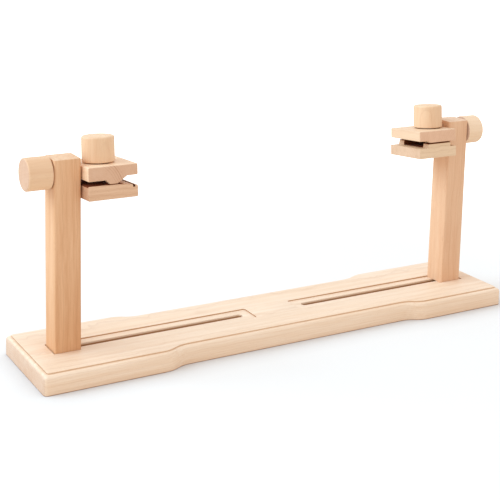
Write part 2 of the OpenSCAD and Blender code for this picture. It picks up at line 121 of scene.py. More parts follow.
class Finish:
    """A material, and the one way that its nodes are made."""

    def __init__(self, name):
        self.material = bpy.data.materials.new(name)
        self.material.use_nodes = True
        self.tree = self.material.node_tree
        self.tree.nodes.clear()

    def node(self, kind, settings=None, sockets=None):
        made = self.tree.nodes.new(kind)
        for key, value in (settings or {}).items():
            setattr(made, key, value)
        for key, value in (sockets or {}).items():
            if isinstance(key, int):
                socket = made.inputs[key]
            else:
                socket = next(s for s in made.inputs if key in (s.identifier, s.name) and s.enabled)
            if isinstance(value, Value):
                self.tree.links.new(value.socket, socket)
            else:
                socket.default_value = value
        return Outputs(self, made)

    def mix(self, factor, a, b, blend="MIX"):
        settings = {"data_type": "RGBA", "blend_type": blend, "clamp_factor": True}
        sockets = {"Factor_Float": factor, "A_Color": a, "B_Color": b}
        return self.node("ShaderNodeMix", settings, sockets)["Result_Color"]

    def vector(self, operation, a, b):
        return self.node("ShaderNodeVectorMath", {"operation": operation}, {0: a, 1: b})[0]

    def noise(self, place, scale, detail=3.0, roughness=0.5):
        return self.node("ShaderNodeTexNoise", {}, {
            "Vector": place, "Scale": scale, "Detail": detail, "Roughness": roughness})

    def split(self, vector):
        parts = self.node("ShaderNodeSeparateXYZ", {}, {0: vector})
        return parts[0], parts[1], parts[2]

    def surface(self, shader):
        self.node("ShaderNodeOutputMaterial", {}, {"Surface": shader})
        return self.material


class Outputs:
    """A made node, whose outputs are read by name or number."""

    def __init__(self, finish, made):
        self.finish, self.made = finish, made

    def __getitem__(self, key):
        if isinstance(key, int):
            return Value(self.finish, self.made.outputs[key])
        socket = next(s for s in self.made.outputs if key in (s.identifier, s.name) and s.enabled)
        return Value(self.finish, socket)


def linear(red, green, blue):
    """A screen colour, 0 to 255, as the shader's own colour."""
    part = [(c / 255) / 12.92 if c <= 10 else ((c / 255 + 0.055) / 1.055) ** 2.4 for c in (red, green, blue)]
    return (*part, 1.0)


# Materials

# Turns the grain's direction onto the material's own Z
ALONG = {"x": (0, -math.pi / 2, 0), "y": (math.pi / 2, 0, 0), "z": (0, 0, 0)}
# What is left of red, green and blue in a full measure of painted shade
SHADE_TINT = (0.62, 0.43, 0.29)


def beech(name, grain, pith, pale, deep, ring=2.4, rings=0.34, figure=1.0, fleck=0.14, sway=6.0,
          ends=(0.86, 0.80, 0.80), tilt=0.0, strong=None, painted_crease_shade=None, shade=()):
    """Sanded beech.

    pith is where the tree's heart lies across the grain, in millimetres, and ends is the tint of the end grain;
    above 1 it is painted light that whitens the tops of the posts and top knobs.
    strong gives two radii between which the rings stand out. crease gives two heights between which steep faces
    get painted shade, as in the moulding step and the channel walls, and an amount. shade lists boxes of
    painted shade, in slots, along the plank's foot and between the jaws, and one where the left post is darker
    towards its foot: a low corner, a high corner, an amount and a softness."""
    f = Finish(name)
    coordinates = f.node("ShaderNodeTexCoord")
    level = f.node("ShaderNodeMapping", {}, {
        "Vector": coordinates["Object"], "Rotation": (-math.radians(tilt), 0, 0),
        "Scale": (1000, 1000, 1000)})[0]
    along = f.node("ShaderNodeMapping", {}, {
        "Vector": level, "Rotation": ALONG[grain], "Location": (-pith[0], -pith[1], 0)})[0]
    drift = f.vector("SUBTRACT", f.noise(along, 0.012, 2.0)["Color"], (0.5, 0.5, 0.5))
    place = f.vector("ADD", along, f.vector("MULTIPLY", drift, (sway, sway, 0)))
    x, y, z = f.split(place)
    heart = max(20.0, math.hypot(pith[0], pith[1]))
    radius = (x * x + y * y).math("SQRT")
    turn = y.math("ARCTAN2", x)

    # Growth rings: slow years and fast years, each ending in a thin darker line
    years = radius / ring + f.noise(place, 0.05, 2.0)["Fac"] * 1.6
    year = years.math("FRACT")
    number = years.math("FLOOR")
    strength = f.node("ShaderNodeTexWhiteNoise", {"noise_dimensions": "1D"}, {"W": number})["Value"]
    late = (year ** 5.0) * (1.0 - year.between(0.955, 1.0)) * (0.2 + 0.8 * strength)
    if strong:
        first, last = strong
        chosen_years = radius.between(first - 2, first + 1) * (1.0 - radius.between(last - 1, last + 2))
        late = late * (0.2 + 1.6 * chosen_years)

    # Fibres run with the grain
    def stretched(across, lengthways):
        return f.vector("MULTIPLY", place, (across, across, lengthways))

    bands = f.noise(stretched(0.22, 0.006), 1.0, 4.0, 0.55)["Fac"]
    streaks = f.noise(stretched(1.5, 0.03), 1.0, 5.0, 0.6)["Fac"]
    fibres = f.noise(stretched(7.0, 0.16), 1.0, 3.0, 0.6)["Fac"]

    # Rays: thin sheets that point at the heart, seen as short flecks on the flat grain
    ray_place = f.node("ShaderNodeCombineXYZ", {}, {
        "X": turn * (heart / 0.34) + bands * 9.0, "Y": radius / 3.4, "Z": z / 1.9 + streaks * 3.0})[0]
    ray = f.node("ShaderNodeTexVoronoi", {"feature": "F1", "voronoi_dimensions": "3D"}, {
        "Vector": ray_place, "Scale": 1.0, "Randomness": 1.0})
    chosen = f.split(ray["Color"])[0]
    flecks = (1.0 - ray["Distance"].between(0.1, 0.4)) * chosen.between(0.35, 0.9)

    # Pores: tiny dark tubes, dots on the end grain and hair lines along it
    pore = f.node("ShaderNodeTexVoronoi", {"feature": "F1", "voronoi_dimensions": "3D"}, {
        "Vector": stretched(3.2, 0.22), "Scale": 1.0, "Randomness": 1.0})["Distance"]
    pores = 1.0 - pore.between(0.08, 0.26)

    # How squarely the surface cuts the grain
    facing = f.split(coordinates["Normal"])
    end_grain = abs(facing["xyz".index(grain)]).between(0.55, 0.95)

    # Colour: broad tones, then rings, flecks and pores in brown, then the end grain's tint, painted light where
    # it whitens the tops of posts and top knobs
    wide = f.noise(stretched(0.03, 0.004), 1.0, 2.0)["Fac"]
    tone = 0.5 + (wide - 0.5) * 0.9 + (bands - 0.5) * 0.9 * figure + (streaks - 0.5) * 0.8 * figure
    colour = f.mix(tone.math("MULTIPLY", 1.0, clamp=True), linear(*pale), linear(*deep))
    brown = [c * s for c, s in zip(linear(*deep), (0.62, 0.46, 0.36))]
    amount = late * rings + flecks * fleck + pores * 0.12 + (fibres - 0.5) * 0.16
    colour = f.mix(amount.math("MAXIMUM", 0.0), colour, (*brown, 1.0))
    colour = f.mix(end_grain * (0.7 + 0.6 * streaks), colour, (*ends, 1.0), "MULTIPLY")

    # Painted shade: on steep faces of the plank's moulding step and channel walls, and in the boxes
    px, py, pz = f.split(level)
    dark = None
    if painted_crease_shade:
        low, high, most = painted_crease_shade
        steep = 1.0 - abs(facing[2]).between(0.3, 0.8)
        middle = (1.0 - abs(py).between(14, 20)) * (1.0 - abs(px).between(224, 230))
        crease_heights = pz.between(low - 0.1, low) * (1.0 - pz.between(high, high + 0.1))
        dark = steep * crease_heights * (0.5 + middle * 0.5) * most
    for low, high, most, soft in shade:
        inside = None
        for value, start, stop in zip((px, py, pz), low, high):
            edge = value.between(start - soft, start) * (1.0 - value.between(stop, stop + soft))
            inside = edge if inside is None else inside * edge
        dark = inside * most if dark is None else dark.math("MAXIMUM", inside * most)

    rough = 0.48 + (streaks - 0.5) * 0.16 + pores * 0.10 + end_grain * 0.12 - flecks * 0.08
    # The painted shade darkens the colour towards brown and makes it rougher
    if dark is not None:
        tint = {k: f.node("ShaderNodeMath", {"operation": "POWER"}, {0: part, 1: dark})[0]
                for k, part in enumerate(SHADE_TINT)}
        colour = f.mix(1.0, colour, f.node("ShaderNodeCombineColor", {}, tint)[0], "MULTIPLY")
        rough = rough + dark * 0.2
    height = fibres * 0.35 - pores * 0.6 - late * 0.5 + streaks * 0.4
    bump = f.node("ShaderNodeBump", {}, {"Strength": 0.22, "Distance": 0.00012, "Height": height})[0]
    return f.surface(f.node("ShaderNodeBsdfPrincipled", {}, {
        "Base Color": colour, "Roughness": rough, "Normal": bump, "Specular IOR Level": 0.42})[0])


def zinc_plate(name):
    """Zinc plated steel, with the cloudy spangle and rub marks of small fasteners."""
    f = Finish(name)
    place = f.node("ShaderNodeTexCoord")["Object"]
    cloud = f.noise(place, 180.0, 4.0, 0.6)["Fac"]
    spangle = f.node("ShaderNodeTexVoronoi", {"feature": "F1"}, {"Vector": place, "Scale": 700.0})["Color"]
    grey = f.node("ShaderNodeSeparateColor", {}, {0: spangle})["Green"]
    rubs = f.noise(f.vector("MULTIPLY", place, (2500, 300, 300)), 1.0, 3.0)["Fac"]
    colour = f.mix(cloud, linear(176, 178, 180), linear(214, 214, 210))
    colour = f.mix(grey * 0.18, colour, linear(150, 154, 162))
    rough = 0.24 + cloud * 0.16 + (rubs - 0.5) * 0.12 + grey * 0.06
    bump = f.node("ShaderNodeBump", {}, {
        "Strength": 0.12, "Distance": 0.00005, "Height": cloud + rubs * 0.5})[0]
    return f.surface(f.node("ShaderNodeBsdfPrincipled", {}, {
        "Base Color": colour, "Metallic": 1.0, "Roughness": rough, "Normal": bump})[0])


def brass(name):
    """Machined brass with a faint turned finish and a little tarnish."""
    f = Finish(name)
    place = f.node("ShaderNodeTexCoord")["Object"]
    tarnish = f.noise(place, 240.0, 5.0, 0.65)["Fac"]
    turned = f.noise(f.vector("MULTIPLY", place, (900, 900, 6000)), 1.0, 2.0)["Fac"]
    colour = f.mix(tarnish.between(0.4, 0.75), linear(214, 178, 98), linear(158, 118, 62))
    rough = 0.22 + tarnish * 0.2 + (turned - 0.5) * 0.12
    bump = f.node("ShaderNodeBump", {}, {"Strength": 0.15, "Distance": 0.00005, "Height": turned})[0]
    return f.surface(f.node("ShaderNodeBsdfPrincipled", {}, {
        "Base Color": colour, "Metallic": 1.0, "Roughness": rough, "Normal": bump})[0])


# Meshes

def arc(centre, radius, start, stop, steps):
    """Points on an arc, in degrees."""
    turns = [math.radians(start + (stop - start) * k / steps) for k in range(steps + 1)]
    return [(centre[0] + radius * math.cos(t), centre[1] + radius * math.sin(t)) for t in turns]


def plank_outline(inset):
    """The base's outline in plan, moved in by inset, with the same number of points for every inset."""
    drop = (PLANK_DEPTH - WAIST_DEPTH) / 2
    radius = (CURVE_LENGTH ** 2 + drop ** 2) / (4 * drop)
    turn = math.degrees(2 * math.atan(drop / CURVE_LENGTH))
    bend = max(PLANK_CORNER + (TOP_CORNER - PLANK_CORNER) * inset / (MOULDING + LEDGE), 0.6)
    corner = (PLANK_LENGTH / 2 - inset - bend, PLANK_DEPTH / 2 - inset - bend)
    outline = []
    for half, sx, sy in ((BACK_RIGHT, 1, 1), (FRONT_RIGHT, 1, -1), (FRONT_LEFT, -1, -1), (BACK_LEFT, -1, 1)):
        q = arc((half - CURVE_LENGTH / 2, WAIST_DEPTH / 2 + radius), radius + inset, -90, turn - 90, 10)
        q += arc((half + CURVE_LENGTH / 2, PLANK_DEPTH / 2 - radius), radius - inset, turn + 90, 90, 10)[1:]
        q += arc(corner, bend, 90, 0, 10)
        outline += [(sx * x, sy * y) for x, y in q][::sx * sy]
    return outline


def solid(name, verts, faces):
    """A closed mesh in millimetres, as an object in metres, with its faces outwards."""
    mesh = bpy.data.meshes.new(name)
    mesh.from_pydata([tuple(c * MM for c in v) for v in verts], [], faces)
    bm = bmesh.new()
    bm.from_mesh(mesh)
    bmesh.ops.remove_doubles(bm, verts=bm.verts, dist=1e-7)
    bmesh.ops.recalc_face_normals(bm, faces=bm.faces)
    bm.to_mesh(mesh)
    bm.free()
    made = bpy.data.objects.new(name, mesh)
    bpy.context.scene.collection.objects.link(made)
    return made


def loft(name, rings):
    """A solid through rings of points that all have the same count, capped at both ends."""
    count = len(rings[0])
    verts = [v for ring in rings for v in ring]
    faces = [list(range(count))[::-1], [(len(rings) - 1) * count + k for k in range(count)]]
    for r in range(len(rings) - 1):
        for k in range(count):
            n = (k + 1) % count
            faces.append([r * count + k, r * count + n, (r + 1) * count + n, (r + 1) * count + k])
    return solid(name, verts, faces)


def prism(name, outline, low, high):
    """A flat outline pulled up from low to high."""
    return loft(name, [[(x, y, low) for x, y in outline], [(x, y, high) for x, y in outline]])


def rod(name, radius, start, stop, sides=48):
    """A round cutter between two points."""
    start, stop = Vector(start), Vector(stop)
    lean = (stop - start).to_track_quat("Z", "Y")
    rings = []
    for end in (start, stop):
        points = (Vector((radius * math.cos(t), radius * math.sin(t), 0)) for t in
                  (2 * math.pi * k / sides for k in range(sides)))
        rings.append([tuple(end + lean @ p) for p in points])
    return loft(name, rings)


def settle(made, angle=35):
    """Applies the modifiers of a piece and shades it smooth up to an angle."""
    depsgraph = bpy.context.evaluated_depsgraph_get()
    mesh = bpy.data.meshes.new_from_object(made.evaluated_get(depsgraph))
    old = made.data
    made.modifiers.clear()
    made.data = mesh
    bpy.data.meshes.remove(old)
    mesh.shade_smooth()
    mesh.set_sharp_from_angle(angle=math.radians(angle))
    return made


def join(made, operation, *others):
    """Adds other solids to a piece (UNION), or takes them out (DIFFERENCE)."""
    for other in others:
        modifier = made.modifiers.new("join", "BOOLEAN")
        modifier.operation, modifier.solver, modifier.object = operation, "EXACT", other
    settle(made)
    for other in others:
        bpy.data.objects.remove(other)
    return made


def ease(made, width, segments=3, angle=40):
    """Rounds the outer edges of a piece that are sharper than an angle."""
    bm = bmesh.new()
    bm.from_mesh(made.data)
    weight = bm.edges.layers.float.new("bevel_weight_edge")
    for edge in bm.edges:
        if edge.is_convex and edge.calc_face_angle(0) > math.radians(angle):
            edge[weight] = 1
    bm.to_mesh(made.data)
    bm.free()
    modifier = made.modifiers.new("ease", "BEVEL")
    modifier.width, modifier.segments, modifier.limit_method = width * MM, segments, "WEIGHT"
    modifier.miter_outer = "MITER_ARC"
    return settle(made)


def attach(made, *others):
    """Puts other meshes beside a piece's own, as one mesh."""
    bm = bmesh.new()
    for part in (made, *others):
        bm.from_mesh(part.data)
    bm.to_mesh(made.data)
    bm.free()
    for other in others:
        bpy.data.objects.remove(other)
    made.data.shade_smooth()
    made.data.set_sharp_from_angle(angle=math.radians(35))
    return made


def dress(made, body, material, *nodes):
    """Gives a piece its material, seats it on its body and hides the CAD nodes that it stands in for."""
    made.data.materials.clear()
    made.data.materials.append(material)
    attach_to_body(made, body)
    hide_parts(*nodes)
    nodes[0]
    return made


# Node trees that follow a rule

class Recipe:
    """A Geometry Nodes tree with named sizes."""

    def __init__(self, name, sizes):
        self.tree = bpy.data.node_groups.new(name, "GeometryNodeTree")
        self.keys = {}
        for label, kind in sizes:
            made = self.tree.interface.new_socket(label, in_out="INPUT", socket_type=kind)
            self.keys[label] = made.identifier
        self.tree.interface.new_socket("Mesh", in_out="OUTPUT", socket_type="NodeSocketGeometry")
        self.source = self.tree.nodes.new("NodeGroupInput")

    def size(self, label):
        return next(s for s in self.source.outputs if s.name == label)

    def node(self, kind, settings=None, sockets=None):
        made = self.tree.nodes.new(kind)
        for key, value in (settings or {}).items():
            setattr(made, key, value)
        for key, value in (sockets or {}).items():
            socket = made.inputs[key]
            if isinstance(value, bpy.types.NodeSocket):
                self.tree.links.new(value, socket)
            else:
                socket.default_value = value
        return made.outputs[0]

    def math(self, operation, *values, clamp=False):
        settings = {"operation": operation, "use_clamp": clamp}
        return self.node("ShaderNodeMath", settings, dict(enumerate(values)))

    def finish(self, mesh, material):
        welded = self.node("GeometryNodeMergeByDistance", {}, {"Geometry": mesh, "Distance": 1e-6})
        smooth = self.node("GeometryNodeSetShadeSmooth", {}, {"Geometry": welded, "Shade Smooth": True})
        real = self.node("GeometryNodeRealizeInstances", {}, {"Geometry": smooth})
        dressed = self.node("GeometryNodeSetMaterial", {}, {"Geometry": real, "Material": material})
        made = self.tree.nodes.new("NodeGroupOutput")
        self.tree.links.new(dressed, made.inputs[0])

    def make(self, name, sizes, place):
        """Runs the tree with these sizes and leaves a plain mesh at a place."""
        made = bpy.data.objects.new(name, bpy.data.meshes.new(name))
        bpy.context.scene.collection.objects.link(made)
        modifier = made.modifiers.new("shape", "NODES")
        modifier.node_group = self.tree
        for label, value in sizes.items():
            modifier[self.keys[label]] = value
        settle(made)
        made.data.transform(place)
        bm = bmesh.new()
        bm.from_mesh(made.data)
        bmesh.ops.recalc_face_normals(bm, faces=bm.faces)
        bm.to_mesh(made.data)
        bm.free()
        return made


def lathe_grid(r, rows, sides):
    """A grid whose columns go once round an axis. Gives the grid, the turn from 0 to 1 and the row number."""
    grid = r.tree.nodes.new("GeometryNodeMeshGrid")
    grid.inputs["Size X"].default_value = 1
    grid.inputs["Size Y"].default_value = 1
    r.tree.links.new(sides, grid.inputs["Vertices X"])
    r.tree.links.new(rows, grid.inputs["Vertices Y"])
    split = r.tree.nodes.new("ShaderNodeSeparateXYZ")
    r.tree.links.new(r.node("GeometryNodeInputPosition"), split.inputs[0])
    turn = r.math("ADD", split.outputs["X"], 0.5)
    down = r.math("ADD", split.outputs["Y"], 0.5)
    row = r.math("ROUND", r.math("MULTIPLY", down, r.math("SUBTRACT", rows, 1)))
    return grid.outputs["Mesh"], turn, row


def lathe_place(r, grid, turn, radius, height):
    """Moves the grid's points to a radius and a height round the axis."""
    angle = r.math("MULTIPLY", turn, 2 * math.pi)
    place = r.node("ShaderNodeCombineXYZ", {}, {
        "X": r.math("MULTIPLY", radius, r.math("COSINE", angle)),
        "Y": r.math("MULTIPLY", radius, r.math("SINE", angle)),
        "Z": height})
    return r.node("GeometryNodeSetPosition", {}, {"Geometry": grid, "Position": place})


def thread_recipe(material):
    """A threaded rod: the surface falls and rises once in each pitch while it goes round once."""
    r = Recipe("threaded rod", [
        ("Radius", "NodeSocketFloat"), ("Depth", "NodeSocketFloat"), ("Pitch", "NodeSocketFloat"),
        ("Length", "NodeSocketFloat"), ("Plain", "NodeSocketFloat"), ("Rows", "NodeSocketInt"),
        ("Sides", "NodeSocketInt")])
    rows, length, pitch = r.size("Rows"), r.size("Length"), r.size("Pitch")
    grid, turn, row = lathe_grid(r, rows, r.size("Sides"))
    along = r.math("DIVIDE", r.math("SUBTRACT", row, 1), r.math("SUBTRACT", rows, 3), clamp=True)
    height = r.math("MULTIPLY", along, length)
    phase = r.math("FRACT", r.math("SUBTRACT", r.math("DIVIDE", height, pitch), turn))
    flank = r.math("MULTIPLY", r.math("ABSOLUTE", r.math("SUBTRACT", phase, 0.5)), 2)
    start = r.math("DIVIDE", r.math("SUBTRACT", height, r.size("Plain")), pitch, clamp=True)
    groove = r.math("MULTIPLY", r.math("MULTIPLY", flank, r.size("Depth")), start)
    lead = r.math("SUBTRACT", 1, r.math("DIVIDE", r.math("SUBTRACT", length, height), pitch, clamp=True))
    taper = r.math("MULTIPLY", lead, r.size("Depth"))
    radius = r.math("SUBTRACT", r.size("Radius"), r.math("MAXIMUM", groove, taper))
    last = r.math("SUBTRACT", rows, 1.5)
    inside = r.math("MULTIPLY", r.math("GREATER_THAN", row, 0.5), r.math("LESS_THAN", row, last))
    r.finish(lathe_place(r, grid, turn, r.math("MULTIPLY", radius, inside), height), material)
    return r


def knob_recipe(material):
    """A turned knob: straight sides, two rounded rims and a slightly crowned face."""
    r = Recipe("turned knob", [
        ("Radius", "NodeSocketFloat"), ("Length", "NodeSocketFloat"), ("Rim", "NodeSocketFloat"),
        ("Foot", "NodeSocketFloat"), ("Crown", "NodeSocketFloat"), ("Rows", "NodeSocketInt"),
        ("Sides", "NodeSocketInt")])
    rows, radius, length = r.size("Rows"), r.size("Radius"), r.size("Length")
    rim, foot = r.size("Rim"), r.size("Foot")
    grid, turn, row = lathe_grid(r, rows, r.size("Sides"))
    flat = r.math("SUBTRACT", radius, foot)
    bend = r.math("MULTIPLY", foot, math.pi / 2)
    curl = r.math("MULTIPLY", rim, math.pi / 2)
    side = r.math("SUBTRACT", r.math("SUBTRACT", length, rim), foot)
    first = r.math("ADD", flat, bend)
    second = r.math("ADD", first, side)
    third = r.math("ADD", second, curl)
    whole = r.math("ADD", third, r.math("SUBTRACT", radius, rim))
    walk = r.math("MULTIPLY", r.math("DIVIDE", row, r.math("SUBTRACT", rows, 1)), whole)

    def quarter(start, length):
        """The turn through a rim that begins at a point of the walk."""
        share = r.math("DIVIDE", r.math("SUBTRACT", walk, start), length, clamp=True)
        return r.math("MULTIPLY", share, math.pi / 2)

    lower, upper = quarter(flat, bend), quarter(second, curl)
    out = r.math("ADD", r.math("MINIMUM", walk, flat), r.math("MULTIPLY", foot, r.math("SINE", lower)))
    back = r.math("MULTIPLY", rim, r.math("SUBTRACT", 1, r.math("COSINE", upper)))
    home = r.math("MAXIMUM", r.math("SUBTRACT", walk, third), 0)
    away = r.math("SUBTRACT", r.math("SUBTRACT", out, back), home)
    rise = r.math("MULTIPLY", foot, r.math("SUBTRACT", 1, r.math("COSINE", lower)))
    climb = r.math("MULTIPLY", r.math("DIVIDE", r.math("SUBTRACT", walk, first), side, clamp=True), side)
    top = r.math("MULTIPLY", rim, r.math("SINE", upper))
    height = r.math("ADD", r.math("ADD", rise, climb), top)
    high = r.math("POWER", r.math("DIVIDE", height, length), 10)
    crown = r.math("MULTIPLY", r.size("Crown"), r.math("POWER", r.math("DIVIDE", away, radius), 2))
    height = r.math("SUBTRACT", height, r.math("MULTIPLY", crown, high))
    r.finish(lathe_place(r, grid, turn, away, height), material)
    return r


# The camera stands where the photograph was taken

def photo_camera():
    azimuth, elevation, roll = (math.radians(a) for a in (-30.097, 9.657, 1.375))
    back = Vector((math.sin(azimuth) * math.cos(elevation), -math.cos(azimuth) * math.cos(elevation),
                   math.sin(elevation)))
    right = Vector((math.cos(azimuth), math.sin(azimuth), 0))
    up = back.cross(right)
    across = right * math.cos(roll) + up * math.sin(roll)
    upright = up * math.cos(roll) - right * math.sin(roll)
    data = bpy.data.cameras.new("photo camera")
    data.sensor_width, data.lens = 36.0, 36.0 * 1142.915 / 500
    data.shift_x, data.shift_y = 0.0, (91.33 - 250) / 500
    data.clip_start, data.clip_end = 0.01, 20
    camera = bpy.data.objects.new("photo camera", data)
    bpy.context.scene.collection.objects.link(camera)
    place = (across * -18.775 + upright * 221.873 + back * 1075.623) * MM
    camera.matrix_world = Matrix((
        (across.x, upright.x, back.x, place.x), (across.y, upright.y, back.y, place.y),
        (across.z, upright.z, back.z, place.z), (0, 0, 0, 1)))
    bpy.context.scene.camera = camera


photo_camera()

# Finishes

# Painted shade in the slots and along the foot of the plank, and the left post darker and warmer towards its
# foot
SLOT_PAINTED_SHADE = [((-209, -3.4, 0), (-31, 3.4, 14.9), 1.15, 0.9), ((35, -3.4, 0), (213, 3.4, 14.9), 1.15, 0.9)]
PLANK_FOOT_PAINTED_SHADE = [((-300, -60, -2), (300, 60, 0.3), 1.6, 0.5)]
POST_FOOT_TINT = [((-300, -60, 0), (300, 60, 30), 0.22, 80)]
PLANK_WOOD = {
    "grain": "x", "pith": (170, 14), "pale": (250, 230, 208), "deep": (232, 198, 164), "ring": 2.1,
    "rings": 0.3, "figure": 1.3, "sway": 1.2, "ends": (0.79, 0.75, 0.75), "painted_crease_shade": (16.75, 17.7, 0.95),
    "shade": SLOT_PAINTED_SHADE + PLANK_FOOT_PAINTED_SHADE}
# Each piece's wood: what both sides share, then the left's own and the right's own
WOODS = {
    "post": (
        # The posts' end tint above 1 is painted light: it whitens and cools their tops as if lit from above
        {"grain": "z", "ring": 2.9, "rings": 0.3, "figure": 1.3, "fleck": 0.1, "ends": (1.06, 1.22, 1.42)},
        {"pith": (-34, 30), "pale": (238, 196, 155), "deep": (214, 160, 115), "shade": POST_FOOT_TINT},
        {"pith": (26, -40), "pale": (236, 197, 161), "deep": (217, 166, 127)}),
    "upper jaw": (
        {"grain": "y", "figure": 1.2, "fleck": 0.05, "sway": 4.0},
        {"pith": (-207, -142), "pale": (252, 222, 190), "deep": (240, 202, 166), "ring": 2.0, "rings": 0.75,
         "ends": (0.76, 0.66, 0.63), "strong": (44, 52)},
        {"pith": (214, -150), "pale": (240, 210, 178), "deep": (226, 192, 158), "ring": 2.4, "rings": 0.3,
         "ends": (0.94, 0.82, 0.80)}),
    "lower jaw": (
        {"grain": "x", "ring": 2.7, "rings": 0.4, "figure": 1.3, "fleck": 0.3, "sway": 3.0},
        {"pith": (-20, 138), "pale": (232, 194, 160), "deep": (208, 162, 126)},
        {"pith": (24, 186), "pale": (242, 214, 182), "deep": (222, 190, 154)}),
    "top knob": (
        # The top knobs' end tint above 1 is painted light: it whitens and cools their tops as if lit from above
        {"grain": "z", "pale": (241, 208, 172), "deep": (225, 182, 143), "ring": 2.3, "rings": 0.2,
         "ends": (1.02, 1.06, 1.10)},
        {"pith": (-165, -90)},
        {"pith": (268.5, 94)}),
    "side knob": (
        {"grain": "x", "ring": 2.5, "rings": 0.2, "ends": (0.82, 0.80, 0.88)},
        {"pith": (-95.5, -22), "pale": (241, 208, 172), "deep": (225, 182, 143)},
        {"pith": (-251.5, 18), "pale": (248, 222, 192), "deep": (234, 200, 164)}),
}
ZINC = zinc_plate("zinc plate")
BRASS = brass("brass")
THREAD = thread_recipe(ZINC)

# The base

def make_plank():
    ledge = PLANK_THICKNESS - STEP
    foot, inset = ledge - MOULDING, MOULDING + LEDGE
    profile = [(0.5, 0.0), (0.15, 0.15), (0.0, 0.5), (0.0, foot)]
    for k in range(1, 9):
        turn = math.radians(90 * k / 8)
        profile.append((MOULDING * (1 - math.cos(turn)), foot + MOULDING * math.sin(turn)))
    top = PLANK_THICKNESS
    profile += [(inset, ledge), (inset, top - 0.2), (inset + 0.06, top - 0.05), (inset + 0.2, top)]
    plank = loft("base_plank_body", [[(x, y, z) for x, y in plank_outline(i)] for i, z in profile])

    def long_hole(width, steps):
        first = arc((SLOT_START, 0), width / 2, 270, 90, steps)
        return first + arc((SLOT_END, 0), width / 2, 90, -90, steps)

    wide, deep = CHANNEL_WIDTH / 2, PLANK_THICKNESS - CHANNEL_DEPTH
    corner = arc((CHANNEL_START + CHANNEL_CORNER, wide - CHANNEL_CORNER), CHANNEL_CORNER, 180, 90, 8)
    channel = corner + [(CHANNEL_END, wide), (CHANNEL_END, -wide)] + [(x, -y) for x, y in corner[::-1]]
    cutters = []
    for way in (-1, 1):
        for label, outline, low, high in (
                ("channel", channel, deep, 30), ("slot", long_hole(SLOT_WIDTH, 16), -CLEAR, 30),
                ("groove", long_hole(GROOVE_WIDTH, 24), -CLEAR, GROOVE_DEPTH)):
            cutters.append(prism(label, [(way * x + CHANNEL_SHIFT, y) for x, y in outline], low, high))
    join(plank, "DIFFERENCE", *cutters)
    ease(plank, PLANK_EASE, 2, 50)
    dress(plank, "base", beech("beech plank", **PLANK_WOOD), "base_plank")


make_plank()


# One side of the stand, drawn for the right and mirrored for the left

